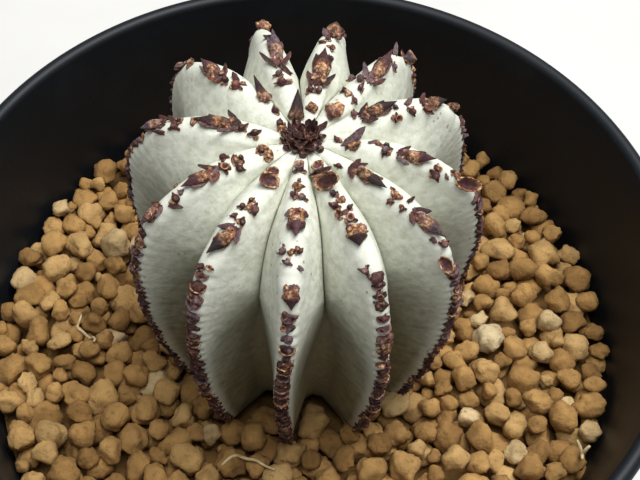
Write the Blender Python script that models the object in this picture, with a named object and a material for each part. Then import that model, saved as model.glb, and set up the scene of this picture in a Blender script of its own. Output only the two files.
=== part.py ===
"""A globe-shaped twelve-ribbed euphorbia in a round plastic nursery pot of granular soil.

Metres, +Z up. The origin is the centre of the pot's underside, and -Y is the front.
"""

import math
import random

import bmesh
import bpy
from mathutils import Matrix, Vector

mm = 0.001
gap = 0.3 * mm  # clearance between pieces that touch
sharp_angle = math.radians(40)  # edges that turn further stay sharp in the shading
merge_distance = 0.001 * mm

# Pot
pot_height = 88 * mm
lip_outer_radius = 52.5 * mm
lip_inner_radius = 50.1 * mm
lip_depth = 3.6 * mm
pot_wall = 1.3 * mm
floor_inner_radius = 36.2 * mm
floor_top = 3.6 * mm
floor_underside = 2.0 * mm
foot_ring_width = 2.4 * mm
foot_ring_inset = 0.2 * mm  # from the wall above it
foot_ring_slope = 0.4 * mm
lip_step = 0.3 * mm
lip_turn = 30  # degrees between the points of the lip's round
pot_segments = 64
slot_count = 8
slot_size = (8 * mm, 3 * mm, 6 * mm)  # narrower than the granules, so they stay in
slot_radius = 28 * mm

# Soil
soil_level = 65.7 * mm
soil_segments = 48
proud_granules = 14
granule_radii = (1.7 * mm, 2.5 * mm)
granule_rings = (31 * mm, 36.5 * mm, 42 * mm)
granule_first_turn = 0.3  # of one granule's share of the circle
granule_roughness = (0.86, 1.06)  # how far a corner lies from the mean radius
granule_flatness = 0.8
granule_seed = 11

# Stem
stem_centre = Vector((-0.5 * mm, 1.2 * mm, 0))
rib_count = 12
rib_spacing = 2 * math.pi / rib_count
first_rib_angle = math.radians(-91)
rib_offsets = [math.radians(turn) for turn in (-1, 2, 2, -6, -11, -12, -7, -4, -3, -7, -6, -3)]
plan_stretch = 0.06  # the plan is a little longer from front to back
plan_stretch_angle = math.radians(95)
# Each row is one level: crest radius and height, groove radius and height, from the lip's plane
rib_outline = (
    (2.6, 20.9, 2.4, 20.2),
    (8.0, 21.7, 6.9, 19.2),
    (14.5, 21.6, 10.8, 16.6),
    (20.0, 19.3, 13.4, 12.6),
    (23.8, 14.3, 14.7, 7.8),
    (24.9, 7.5, 15.0, 2.2),
    (24.4, 0.0, 15.0, -3.5),
    (23.1, -8.0, 14.4, -9.5),
    (21.3, -15.0, 13.4, -16.0),
    (19.8, -19.8, 12.4, -20.2),
    (18.4, -22.0, 11.6, -22.0),
)
stem_rows = 23
crest_half_width = 1.1 * mm
rib_flare = 0.25  # how much a rib's half width grows with each millimetre of depth
rib_depths = (0.07, 0.32, 0.68)  # shares of the way from crest to groove
rib_clearance = 0.94  # neighbouring ribs stop just short of the plane between them
neck_radius = 10.4 * mm
root_rings = ((9.6 * mm, 5 * mm), (2.2 * mm, 14 * mm))  # radius, depth below the stem's underside
root_depth = 26 * mm
socket_margin = 2 * gap  # beyond the root's own outline
crest_step = 0.01  # share of the way down the crest over which its direction is taken

# Dried stalks
stalk_levels = {"upper": 0.09, "middle": 0.23, "lower": 0.55}  # shares of the way down the crest
stalk_lengths = {"upper": 3.6 * mm, "middle": 5.0 * mm, "lower": 2.8 * mm}
stalk_leans = {"upper": 28, "middle": 36, "lower": 10}  # degrees, outwards along the crest
late_ribs = (0, 2, 4, 5, 7, 9)  # the ribs whose stalks start further from the crown
late_start = 0.07
stalk_foot_radius = 0.8 * mm
stalk_sides = 7
stalk_outline = ((1.0, 0.0), (1.5, 0.35), (1.0, 0.7), (0.25, 1.0))  # foot radii, share of length

# Crown tuft
tuft_radius = 4.2 * mm
tuft_height = 3.4 * mm
tuft_spikes = 7
tuft_middle = 0.7  # height of its middle as a share of its spikes' height
tuft_seat = max(row[1] for row in rib_outline[:2]) * mm  # the crests' top beside it, from the lip's plane
tuft_levels = (  # radius of the spikes, radius between them, height of each, as shares
    (0.75, 0.75, 0.0, 0.0),
    (1.0, 0.6, 0.45, 0.3),
    (0.8, 0.4, 0.95, 0.45),
)

# Loose pieces on the soil
rootlet_radius = 0.3 * mm
rootlet_routes = {
    "rootlet_left": ((-33.3, -0.1), (-33.7, -2.6), (-31.8, -3.1), (-30.6, -4.2), (-30.6, -5.1)),
    "rootlet_front": ((-10.8, -24.2), (-8.4, -22.2), (-5.6, -22.6), (-2.6, -24.4)),
}
sprig_place = (40.2 * mm, -20.0 * mm)
sprig_height = 3.2 * mm
sprig_radius = 0.7 * mm
sprig_outline = ((0.5, 0.0), (1.0, 0.45), (0.6, 0.85))  # shares of its radius and height
sprig_segments = 8


def clear_scene():
    for item in list(bpy.data.objects):
        bpy.data.objects.remove(item, do_unlink=True)


def plain_material(name, colour, roughness):
    made = bpy.data.materials.new(name)
    made.use_nodes = True
    shader = made.node_tree.nodes["Principled BSDF"]
    shader.inputs["Base Color"].default_value = (*colour, 1)
    shader.inputs["Roughness"].default_value = roughness
    shader.inputs["Metallic"].default_value = 0
    return made


def object_from(name, shape, material, smooth=True):
    """Turns a bmesh into an object with its faces pointing out."""
    bmesh.ops.recalc_face_normals(shape, faces=shape.faces)
    mesh = bpy.data.meshes.new(name)
    shape.to_mesh(mesh)
    shape.free()
    mesh.materials.append(material)
    if smooth:
        mesh.shade_smooth()
        mesh.set_sharp_from_angle(angle=sharp_angle)
    made = bpy.data.objects.new(name, mesh)
    bpy.context.scene.collection.objects.link(made)
    return made


def turned(name, outline, segments, material):
    """Spins an outline of (radius, height) points round the Z axis."""
    shape = bmesh.new()
    points = [shape.verts.new((radius, 0, height)) for radius, height in outline]
    edges = [shape.edges.new(pair) for pair in zip(points, points[1:])]
    bmesh.ops.spin(
        shape, geom=points + edges, cent=(0, 0, 0), axis=(0, 0, 1),
        angle=2 * math.pi, steps=segments, use_merge=True,
    )
    bmesh.ops.remove_doubles(shape, verts=shape.verts, dist=merge_distance)
    return object_from(name, shape, material)


def ring_stack(shape, rings, first=None, last=None):
    """Joins rings of points into a skin, closed with a fan at each end."""
    rows = [[shape.verts.new(point) for point in ring] for ring in rings]
    for near, far in zip(rows, rows[1:]):
        for i in range(len(near)):
            j = (i + 1) % len(near)
            shape.faces.new((near[i], near[j], far[j], far[i]))
    for row, tip in ((rows[0], first), (rows[-1], last)):
        if tip is None:
            shape.faces.new(row)
            continue
        point = shape.verts.new(tip)
        for i in range(len(row)):
            shape.faces.new((row[i], row[(i + 1) % len(row)], point))


def inner_wall_radius(height):
    share = (height - floor_top) / (pot_height - floor_top)
    return floor_inner_radius + share * (lip_inner_radius - floor_inner_radius)


def make_pot(material):
    foot_outer = floor_inner_radius + pot_wall - foot_ring_inset
    lip_bottom = pot_height - lip_depth
    outline = [
        (0, floor_underside),
        (foot_outer - foot_ring_width - foot_ring_slope, floor_underside),
        (foot_outer - foot_ring_width, 0),
        (foot_outer, 0),
        (inner_wall_radius(floor_top) + pot_wall, floor_top),
        (inner_wall_radius(lip_bottom) + pot_wall, lip_bottom),
        (lip_outer_radius - lip_step, lip_bottom + lip_step),
    ]
    lip_middle = (lip_outer_radius + lip_inner_radius) / 2
    lip_round = (lip_outer_radius - lip_inner_radius) / 2
    for turn in range(0, 181, lip_turn):
        angle = math.radians(turn)
        outline.append((
            lip_middle + lip_round * math.cos(angle),
            pot_height - lip_round + lip_round * math.sin(angle),
        ))
    outline.append((floor_inner_radius, floor_top))
    outline.append((0, floor_top))
    pot = turned("pot", outline, pot_segments, material)
    cut = pot.modifiers.new("drainage_slots", "BOOLEAN")
    cut.object = make_slot_cutter()
    cut.operation = "DIFFERENCE"
    cut.solver = "EXACT"


def make_slot_cutter():
    shape = bmesh.new()
    for i in range(slot_count):
        turn = Matrix.Rotation(2 * math.pi * (i + 0.5) / slot_count, 4, "Z")
        place = turn @ Matrix.Translation((slot_radius, 0, floor_top))
        size = Matrix.Diagonal((*slot_size, 1))
        bmesh.ops.create_cube(shape, size=1, matrix=place @ size)
    material = plain_material("cutter", (0.5, 0.5, 0.5), 0.5)
    cutter = object_from("slot_cutter", shape, material, smooth=False)
    cutter.hide_render = True
    cutter.display_type = "WIRE"
    return cutter


def make_soil(material):
    bottom = floor_top + gap
    top_radius = inner_wall_radius(soil_level) - gap
    socket = [(neck_radius + gap, soil_level)]
    for radius, depth in root_rings:
        socket.append((radius + gap, soil_level - depth))
    socket.append((0, soil_level - root_depth - socket_margin))
    outline = [(0, bottom), (inner_wall_radius(bottom) - gap, bottom), (top_radius, soil_level)]
    centre_socket(turned("soil_bed", outline + socket, soil_segments, material))


def centre_socket(soil):
    """Slides the socket sideways so that it lies under the stem."""
    for vertex in soil.data.vertices:
        radius = math.hypot(vertex.co.x, vertex.co.y)
        if radius < neck_radius + socket_margin and vertex.co.z > floor_top + socket_margin:
            vertex.co += stem_centre


def on_outline(share, column):
    """A smooth curve through one column of the rib outline."""
    last = len(rib_outline) - 1
    at = min(share, 1) * last
    i = min(int(at), last - 1)
    t = at - i
    before, start, end, after = (
        rib_outline[min(max(k, 0), last)][column] for k in (i - 1, i, i + 1, i + 2)
    )
    return mm * 0.5 * (
        2 * start
        + (end - before) * t
        + (2 * before - 5 * start + 4 * end - after) * t ** 2
        + (3 * start - before - 3 * end + after) * t ** 3
    )


def rib_angle(rib):
    return first_rib_angle - rib_spacing * rib + rib_offsets[rib % rib_count]


def plan_scale(angle):
    return 1 + plan_stretch * math.cos(2 * (angle - plan_stretch_angle))


def stem_point(angle, radius, height, sideways=0):
    scaled = radius * plan_scale(angle)
    out = Vector((math.cos(angle), math.sin(angle), 0))
    across = Vector((-math.sin(angle), math.cos(angle), 0))
    return stem_centre + out * scaled + across * sideways + Vector((0, 0, pot_height + height))


def stem_ring(share):
    """One closed row of points round the ribs, going clockwise from the first crest."""
    crest = (on_outline(share, 0), on_outline(share, 1))
    groove = (on_outline(share, 2), on_outline(share, 3))
    depth = math.hypot(crest[0] - groove[0], crest[1] - groove[1])
    ring = []
    for rib in range(rib_count):
        here, following = rib_angle(rib), rib_angle(rib + 1)
        half = (here - following) / 2
        ring.append(stem_point(here, *crest))
        for side, angle, depths in ((-1, here, rib_depths), (1, following, rib_depths[::-1])):
            for part in depths:
                radius = crest[0] + part * (groove[0] - crest[0])
                height = crest[1] + part * (groove[1] - crest[1])
                room = radius * math.tan(half) * rib_clearance
                width = min(crest_half_width + rib_flare * part * depth, room)
                ring.append(stem_point(angle, radius, height, side * width))
            if side < 0:
                ring.append(stem_point((here + following) / 2, *groove))
    return ring


def make_stem(material):
    shape = bmesh.new()
    rings = [stem_ring(row / (stem_rows - 1)) for row in range(stem_rows)]
    underside = rib_outline[-1][1] * mm
    directions = [(point - stem_centre).xy.normalized() for point in rings[-1]]
    for radius, depth in ((neck_radius, 0), *root_rings):
        height = pot_height + underside - depth
        rings.append([stem_centre + Vector((*(way * radius), height)) for way in directions])
    crown = stem_centre + Vector((0, 0, pot_height + rib_outline[0][3] * mm))
    root_tip = stem_centre + Vector((0, 0, pot_height + underside - root_depth))
    ring_stack(shape, rings, crown, root_tip)
    object_from("stem", shape, material)


def crest_place(rib, share):
    """A point on a rib's crest, with the outward and the down-the-crest directions there."""
    angle = rib_angle(rib)
    shares = (share - crest_step, share, share + crest_step)
    near, here, far = (stem_point(angle, on_outline(s, 0), on_outline(s, 1)) for s in shares)
    along = (far - near).normalized()
    across = Vector((-math.sin(angle), math.cos(angle), 0))
    outward = along.cross(across)
    if outward.dot(here - stem_centre - Vector((0, 0, pot_height))) < 0:
        outward = -outward
    return here, outward.normalized(), along


def stalk_mesh(name, length, material):
    shape = bmesh.new()
    rings = []
    for radius, share in stalk_outline:
        ring = []
        for i in range(stalk_sides):
            angle = 2 * math.pi * i / stalk_sides
            reach = radius * stalk_foot_radius
            ring.append(Vector((reach * math.cos(angle), reach * math.sin(angle), share * length)))
        rings.append(ring)
    ring_stack(shape, rings)
    bmesh.ops.recalc_face_normals(shape, faces=shape.faces)
    mesh = bpy.data.meshes.new(name)
    shape.to_mesh(mesh)
    shape.free()
    mesh.materials.append(material)
    mesh.shade_smooth()
    return mesh


def make_stalks(material):
    meshes = {level: stalk_mesh("stalk_" + level, stalk_lengths[level], material) for level in stalk_levels}
    for rib in range(rib_count):
        for level, share in stalk_levels.items():
            start = late_start if rib in late_ribs else 0
            foot, outward, along = crest_place(rib, share + start)
            lean = math.radians(stalk_leans[level])
            axis = outward * math.cos(lean) + along * math.sin(lean)
            lift = gap + stalk_foot_radius * math.sin(lean)
            stalk = bpy.data.objects.new(f"dried_stalk_{rib + 1:02d}_{level}", meshes[level])
            stalk.location = foot + outward * lift
            stalk.rotation_mode = "QUATERNION"
            stalk.rotation_quaternion = axis.to_track_quat("Z", "Y")
            bpy.context.scene.collection.objects.link(stalk)


def make_tuft(material):
    shape = bmesh.new()
    base = pot_height + tuft_seat + gap
    rings = []
    for spike, notch, spike_height, notch_height in tuft_levels:
        ring = []
        for i in range(2 * tuft_spikes):
            angle = math.pi * i / tuft_spikes
            reach = tuft_radius * (notch if i % 2 else spike)
            height = tuft_height * (notch_height if i % 2 else spike_height)
            spot = Vector((reach * math.cos(angle), reach * math.sin(angle), base + height))
            ring.append(stem_centre + spot)
        rings.append(ring)
    foot = stem_centre + Vector((0, 0, base))
    top = stem_centre + Vector((0, 0, base + tuft_height * tuft_middle))
    ring_stack(shape, rings, foot, top)
    object_from("crown_tuft", shape, material, smooth=False)


def make_granules(material):
    draw = random.Random(granule_seed)
    for i in range(proud_granules):
        angle = 2 * math.pi * (i + granule_first_turn) / proud_granules
        ring = granule_rings[i % len(granule_rings)]
        size = draw.uniform(*granule_radii)
        shape = bmesh.new()
        bmesh.ops.create_icosphere(shape, subdivisions=1, radius=size)
        for vertex in shape.verts:
            vertex.co *= draw.uniform(*granule_roughness)
            vertex.co.z *= granule_flatness
        lowest = min(vertex.co.z for vertex in shape.verts)
        granule = object_from(f"granule_{i + 1:02d}", shape, material, smooth=False)
        granule.location = (
            ring * math.cos(angle), ring * math.sin(angle), soil_level + gap - lowest,
        )


def make_rootlets(material):
    for name, route in rootlet_routes.items():
        curve = bpy.data.curves.new(name, "CURVE")
        curve.dimensions = "3D"
        curve.bevel_depth = rootlet_radius
        curve.bevel_resolution = 1
        curve.use_fill_caps = True
        curve.materials.append(material)
        line = curve.splines.new("POLY")
        line.points.add(len(route) - 1)
        height = soil_level + gap + rootlet_radius
        for point, (x, y) in zip(line.points, route):
            point.co = (x * mm, y * mm, height, 1)
        bpy.context.scene.collection.objects.link(bpy.data.objects.new(name, curve))


def make_sprig(material):
    side = [(sprig_radius * radius, sprig_height * height) for radius, height in sprig_outline]
    sprig = turned("sprig", [(0, 0), *side, (0, sprig_height)], sprig_segments, material)
    sprig.location = (*sprig_place, soil_level + gap)


def main():
    clear_scene()
    plastic = plain_material("black_plastic", (0.02, 0.02, 0.022), 0.5)
    soil = plain_material("fired_clay_granules", (0.42, 0.24, 0.10), 0.9)
    skin = plain_material("waxy_skin", (0.55, 0.60, 0.55), 0.6)
    dried = plain_material("dried_stalk", (0.13, 0.05, 0.045), 0.75)
    pale = plain_material("pale_root", (0.62, 0.50, 0.33), 0.8)
    make_pot(plastic)
    make_soil(soil)
    make_granules(soil)
    make_stem(skin)
    make_stalks(dried)
    make_tuft(dried)
    make_rootlets(pale)
    make_sprig(pale)


main()
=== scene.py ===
import math
import random

import bmesh
import bpy
import numpy as np
from mathutils import Matrix, Vector
from mathutils.bvhtree import BVHTree


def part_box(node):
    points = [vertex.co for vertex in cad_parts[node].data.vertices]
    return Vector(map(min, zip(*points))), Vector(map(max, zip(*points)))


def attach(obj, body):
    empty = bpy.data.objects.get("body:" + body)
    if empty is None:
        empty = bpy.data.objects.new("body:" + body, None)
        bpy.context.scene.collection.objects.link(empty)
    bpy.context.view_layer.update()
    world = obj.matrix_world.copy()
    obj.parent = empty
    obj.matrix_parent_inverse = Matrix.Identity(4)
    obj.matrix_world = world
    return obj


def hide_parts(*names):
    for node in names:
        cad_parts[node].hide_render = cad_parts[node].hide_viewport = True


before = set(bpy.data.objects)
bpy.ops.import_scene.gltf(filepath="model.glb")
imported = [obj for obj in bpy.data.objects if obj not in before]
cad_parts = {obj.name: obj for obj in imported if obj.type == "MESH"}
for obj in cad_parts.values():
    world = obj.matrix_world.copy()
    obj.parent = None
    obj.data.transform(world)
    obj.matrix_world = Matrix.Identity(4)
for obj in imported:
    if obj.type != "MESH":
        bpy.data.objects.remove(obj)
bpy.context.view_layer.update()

mm = 0.001


# Small tools

# an sRGB hex colour as the linear values that sockets take
def toLinear(hexColour):
    parts = [int(hexColour[i:i + 2], 16) / 255 for i in (1, 3, 5)]
    return (*[p / 12.92 if p <= 0.04045 else ((p + 0.055) / 1.055) ** 2.4 for p in parts], 1)


# a pattern's scale, from the real size of one of its features in millimetres
def featureOf(size):
    return 1 / (size * mm)


# sets a node's inputs, each to a value or to another node's output
def setInputs(tree, node, inputs):
    for name, value in inputs.items():
        if isinstance(value, bpy.types.NodeSocket):
            tree.links.new(value, node.inputs[name])
        else:
            node.inputs[name].default_value = value


# adds a node with its settings, its inputs and its colour stops
def addNode(tree, kind, settings=None, inputs=None, stops=()):
    node = tree.nodes.new("ShaderNode" + kind)
    for name, value in (settings or {}).items():
        setattr(node, name, value)
    setInputs(tree, node, inputs or {})
    for i, (place, colour) in enumerate(stops):
        ramp = node.color_ramp.elements
        stop = ramp[i] if i < len(ramp) else ramp.new(place)
        stop.position = place
        stop.color = toLinear(colour)
    return node


# a material, its tree and shader, and the output that gives places on the piece
def newMaterial(name):
    made = bpy.data.materials.new(name)
    made.use_nodes = True
    tree = made.node_tree
    return made, tree, tree.nodes["Principled BSDF"], addNode(tree, "TexCoord").outputs["Object"]


# the mesh that a bmesh holds; the bmesh is freed
def meshFrom(name, shape):
    mesh = bpy.data.meshes.new(name)
    shape.to_mesh(mesh)
    shape.free()
    return mesh


def newObject(name, mesh):
    made = bpy.data.objects.new(name, mesh)
    bpy.context.scene.collection.objects.link(made)
    return made


# the piece rides on the one body, and stands for its nodes
def settle(piece, stands=()):
    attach(piece, "root")
    if stands:
        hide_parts(*stands)


# a piece from points in mm, with values for each point that its material reads
def meshPiece(name, points, faces, material, stands=(), values=None):
    mesh = bpy.data.meshes.new(name)
    mesh.from_pydata((np.asarray(points) * mm).tolist(), [], faces)
    for key, numbers in (values or {}).items():
        layer = mesh.attributes.new(key, "FLOAT", "POINT")
        layer.data.foreach_set("value", np.asarray(numbers, np.float32))
    shape = bmesh.new()
    shape.from_mesh(mesh)
    bmesh.ops.recalc_face_normals(shape, faces=shape.faces)
    shape.to_mesh(mesh)
    shape.free()
    mesh.materials.append(material)
    mesh.shade_smooth()
    settle(newObject(name, mesh), stands)


# quads between neighbouring rows of points that close on themselves
def skinFaces(rows, columns):
    faces = []
    for k in range(rows - 1):
        for i in range(columns):
            j = (i + 1) % columns
            faces.append((k * columns + i, k * columns + j, (k + 1) * columns + j, (k + 1) * columns + i))
    return faces


# the same, with a flat face at each end
def closedFaces(rows, columns):
    last = (rows - 1) * columns
    return [*skinFaces(rows, columns), tuple(range(columns)), tuple(range(last, last + columns))]


# a ball of even quads, radius 1
def ballOf(cuts):
    shape = bmesh.new()
    bmesh.ops.create_cube(shape, size=2)
    bmesh.ops.subdivide_edges(shape, edges=shape.edges, cuts=cuts, use_grid_fill=True)
    shape.verts.index_update()
    points = np.tan(np.array([v.co for v in shape.verts]) * math.pi / 4)
    faces = [tuple(v.index for v in f.verts) for f in shape.faces]
    shape.free()
    return points / np.linalg.norm(points, axis=1)[:, None], faces


# joins forms into one piece; each has points, faces, a tone, and a heart value at every point
def addForms(name, forms, material, stands=()):
    points, faces, count = [], [], 0
    values = {"heart": [], "tone": []}
    for form in forms:
        points.append(form["points"])
        faces += [tuple(i + count for i in face) for face in form["faces"]]
        values["heart"] += list(form["heart"])
        values["tone"] += [form["tone"]] * len(form["points"])
        count += len(form["points"])
    meshPiece(name, np.concatenate(points), faces, material, stands, values)


# Camera

# matched to the pot's lip and soil edge in the photo; places in mm
cameraSize = {
    "eye": (2.1, -96.03, 221.81), "aim": (2.1, 1.16, 88.0), "roll": 2.64, "focalPixels": 1200,
    "frame": (640, 480), "sensor": 36, "near": 0.005, "far": 20,
}
eye = Vector(cameraSize["eye"])
cameraTurn = (Vector(cameraSize["aim"]) - eye).to_track_quat("-Z", "Y").to_matrix()
cameraTurn = cameraTurn @ Matrix.Rotation(math.radians(cameraSize["roll"]), 3, "Z")


# the way that the camera looks through a pixel of its frame
def lookThrough(x, y):
    wide, tall = cameraSize["frame"]
    return (cameraTurn @ Vector((x - wide / 2, tall / 2 - y, -cameraSize["focalPixels"]))).normalized()


def makeCamera():
    s = cameraSize
    data = bpy.data.cameras.new("camera")
    data.sensor_width = s["sensor"]
    data.lens = s["focalPixels"] * s["sensor"] / s["frame"][0]
    data.clip_start = s["near"]
    data.clip_end = s["far"]
    camera = newObject("camera", data)
    camera.matrix_world = Matrix.Translation(eye * mm) @ cameraTurn.to_4x4()
    bpy.context.scene.camera = camera


# Pot

potSize = {
    "height": 88, "lipOuter": 52.5, "lipInner": 50.1, "lipDepth": 3.6, "wall": 1.3,
    "floorInner": 36.2, "floorTop": 3.6, "floorUnder": 2.0, "footWidth": 2.4, "footInset": 0.2,
    "slots": 8, "slotLong": 8, "slotWide": 3, "slotDeep": 6, "slotRadius": 28,
    "steps": 192, "lipTurn": 12, "outerRows": 22, "innerRows": 28, "sharpTurn": 50,
    # small edges, outwards and up: from the foot's inner and outer edge, and from the lip's lower edge
    "footInside": ((-0.1, 0.2), (0.15, 0)), "footOutside": ((-0.25, 0), (0, 0.25)),
    "lipUnder": ((-0.45, 0.1), (-0.1, 0.4)),
    # how far from its corners the outline's straight runs stop; the wall widens by lipNeck under the lip
    "slope": 0.6, "wallLow": 0.4, "wallHigh": 0.3, "lipNeck": 0.1, "lipRoot": 1, "floorRound": 0.5,
}


def potInner(height):
    s = potSize
    share = (height - s["floorTop"]) / (s["height"] - s["floorTop"])
    return s["floorInner"] + share * (s["lipInner"] - s["floorInner"])


# polypropylene, injection moulded: dull black, a faint grain, and dust in soft patches
def potMaterial():
    made, tree, shader, place = newMaterial("polypropyleneMoulded")
    patches = addNode(tree, "TexNoise", None, {
        "Vector": place, "Scale": featureOf(14), "Detail": 6.0, "Roughness": 0.65}).outputs["Fac"]
    dust = addNode(tree, "MapRange", None, {
        "Value": patches, "From Min": 0.50, "From Max": 0.80, "To Min": 0.0, "To Max": 0.08})
    specks = addNode(tree, "TexVoronoi", None, {"Vector": place, "Scale": featureOf(1.6)}).outputs["Distance"]
    speck = addNode(tree, "MapRange", None, {
        "Value": specks, "From Min": 0.07, "From Max": 0.12, "To Min": 0.14, "To Max": 0.0})
    both = addNode(tree, "Math", {"operation": "ADD"}, {0: dust.outputs[0], 1: speck.outputs[0]})
    colour = addNode(tree, "Mix", {"data_type": "RGBA"}, {
        0: both.outputs[0], 6: toLinear("#0B1117"), 7: toLinear("#464B4E")})
    rough = addNode(tree, "MapRange", None, {"Value": patches, "To Min": 0.38, "To Max": 0.62})
    grain = addNode(tree, "TexNoise", None, {"Vector": place, "Scale": featureOf(0.35), "Detail": 2.0})
    bump = addNode(tree, "Bump", None, {
        "Height": grain.outputs["Fac"], "Strength": 0.25, "Distance": 0.05 * mm})
    setInputs(tree, shader, {
        "Base Color": colour.outputs[2], "Roughness": rough.outputs[0], "IOR": 1.49,
        "Specular IOR Level": 0.3, "Normal": bump.outputs[0]})
    return made


# spins an outline of (radius, height) in mm round Z
def turnedMesh(name, outline, steps):
    shape = bmesh.new()
    points = [shape.verts.new((radius * mm, 0, height * mm)) for radius, height in outline]
    edges = [shape.edges.new(pair) for pair in zip(points, points[1:])]
    bmesh.ops.spin(shape, geom=points + edges, cent=(0, 0, 0), axis=(0, 0, 1),
                   angle=2 * math.pi, steps=steps, use_merge=True)
    bmesh.ops.remove_doubles(shape, verts=shape.verts, dist=1e-6)
    bmesh.ops.recalc_face_normals(shape, faces=shape.faces)
    return meshFrom(name, shape)


def slotCutter():
    s = potSize
    shape = bmesh.new()
    for i in range(s["slots"]):
        turn = Matrix.Rotation(2 * math.pi * (i + 0.5) / s["slots"], 4, "Z")
        place = turn @ Matrix.Translation((s["slotRadius"] * mm, 0, s["floorTop"] * mm))
        size = Matrix.Diagonal((s["slotLong"] * mm, s["slotWide"] * mm, s["slotDeep"] * mm, 1))
        bmesh.ops.create_cube(shape, size=1, matrix=place @ size)
    return newObject("slotCutter", meshFrom("slotCutter", shape))


def makePot():
    s = potSize
    foot = s["floorInner"] + s["wall"] - s["footInset"]
    footInner = foot - s["footWidth"]
    lipLow = s["height"] - s["lipDepth"]
    outline = [(0, s["floorUnder"]), (footInner - s["slope"], s["floorUnder"])]
    outline += [(footInner + out, up) for out, up in s["footInside"]]
    outline += [(foot + out, up) for out, up in s["footOutside"]]
    outline.append((potInner(s["floorTop"]) + s["wall"], s["floorTop"] - s["wallLow"]))
    for height in np.linspace(s["floorTop"], lipLow - s["wallHigh"], s["outerRows"]):
        outline.append((potInner(height) + s["wall"], height))
    outline.append((potInner(lipLow) + s["wall"] + s["lipNeck"], lipLow))
    outline += [(s["lipOuter"] + out, lipLow + up) for out, up in s["lipUnder"]]
    middle = (s["lipOuter"] + s["lipInner"]) / 2
    bend = (s["lipOuter"] - s["lipInner"]) / 2
    for turn in range(0, 181, s["lipTurn"]):
        angle = math.radians(turn)
        outline.append((middle + bend * math.cos(angle), s["height"] - bend + bend * math.sin(angle)))
    for height in np.linspace(s["height"] - bend - s["lipRoot"], s["floorTop"] + s["slope"], s["innerRows"]):
        outline.append((potInner(height), height))
    outline += [(potInner(s["floorTop"]) - s["floorRound"], s["floorTop"]), (0, s["floorTop"])]
    pot = newObject("potBody", turnedMesh("potBody", outline, s["steps"]))
    cutter = slotCutter()
    cut = pot.modifiers.new("slots", "BOOLEAN")
    cut.object = cutter
    bpy.context.view_layer.update()
    pot.data = bpy.data.meshes.new_from_object(pot.evaluated_get(bpy.context.evaluated_depsgraph_get()))
    pot.modifiers.clear()
    bpy.data.objects.remove(cutter)
    pot.data.materials.clear()
    pot.data.materials.append(potMaterial())
    pot.data.shade_smooth()
    pot.data.set_sharp_from_angle(angle=math.radians(s["sharpTurn"]))
    settle(pot, ["pot"])
    print("pot made")


# The ribs' shape

stemSize = {
    "centre": (-0.5, 1.2), "rim": 88, "ribs": 12, "firstAngle": -91, "stretch": 0.06, "stretchAngle": 95,
    "turns": (-1, 2, 2, -6, -11, -12, -7, -4, -3, -7, -6, -3),
    "rows": 210, "sideSteps": 17, "crowd": 1.4, "nose": 1.1, "close": 0.965,
    # a crest's half width, the share of the way down from which it thins, and the share that it loses
    "crestHalf": 1.1, "thin": (0.6, 0.4),
    # where a flank meets the next one, as a share of its depth, and how hollow it is: two shares of the way
    # down the crest, and the values there
    "touch": ((0.36, 0.60), (0.78, 1.38)), "bulge": ((0.14, 0.54), (0.95, 1.85)),
    # unevenness: its size in mm and its turn in radians down the rib, and a fold's also per rib and across
    "sway": ((0.3, 7), (0.18, 19)), "stand": (0.12, 46), "drift": (0.22, 21), "fold": (0.07, 30, 5, 6),
    "swayPhase": 2.4, "driftPhase": 2.1, "ends": (0.12, 0.06), "pad": (0.4, 1.0),
    "bloom": 0.3, "chainBloom": 0.7, "crownWhite": 0.5, "rootWhite": 0.3,
    "neck": 10.4, "root": ((9.6, 5), (2.2, 14)), "rootDepth": 26, "soilShare": 0.93,
}
# crest radius and height, groove radius and height, in mm from the lip's plane, crown to base
ribOutline = np.array((
    (2.6, 20.9, 2.4, 20.2), (8.0, 21.7, 6.9, 19.2), (14.5, 21.6, 10.8, 16.6), (20.0, 19.3, 13.4, 12.6),
    (23.8, 14.3, 14.7, 7.8), (24.9, 7.5, 15.0, 2.2), (24.4, 0.0, 15.0, -3.5), (23.1, -8.0, 14.4, -9.5),
    (21.3, -15.0, 13.4, -16.0), (19.8, -19.8, 12.4, -20.2), (18.4, -22.0, 11.6, -22.0)))
stemAxis = np.array((*stemSize["centre"], stemSize["rim"]))


# the smooth curve through the rib outline's four columns
def onOutline(share):
    last = len(ribOutline) - 1
    at = min(max(share, 0), 1) * last
    i = min(int(at), last - 1)
    t = at - i
    before, start, end, after = (ribOutline[min(max(k, 0), last)] for k in (i - 1, i, i + 1, i + 2))
    return 0.5 * (2 * start + (end - before) * t + (2 * before - 5 * start + 4 * end - after) * t ** 2
                  + (3 * start - before - 3 * end + after) * t ** 3)


# millimetres run along the crest at each of many shares of the way down
crestShares = np.linspace(0, 1, 201)
crestPath = np.array([onOutline(share)[:2] for share in crestShares])
crestRun = np.concatenate(([0], np.cumsum(np.linalg.norm(np.diff(crestPath, axis=0), axis=1))))


def ribAngle(rib):
    s = stemSize
    return math.radians(s["firstAngle"] - 360 / s["ribs"] * rib + s["turns"][rib % s["ribs"]])


# the plan is a little longer from front to back
def planScale(angle):
    return 1 + stemSize["stretch"] * math.cos(2 * (angle - math.radians(stemSize["stretchAngle"])))


def stemPoint(angle, radius, height, sideways=0):
    reach = radius * planScale(angle)
    return stemAxis + (reach * math.cos(angle) - sideways * math.sin(angle),
                       reach * math.sin(angle) + sideways * math.cos(angle), height)
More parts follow.
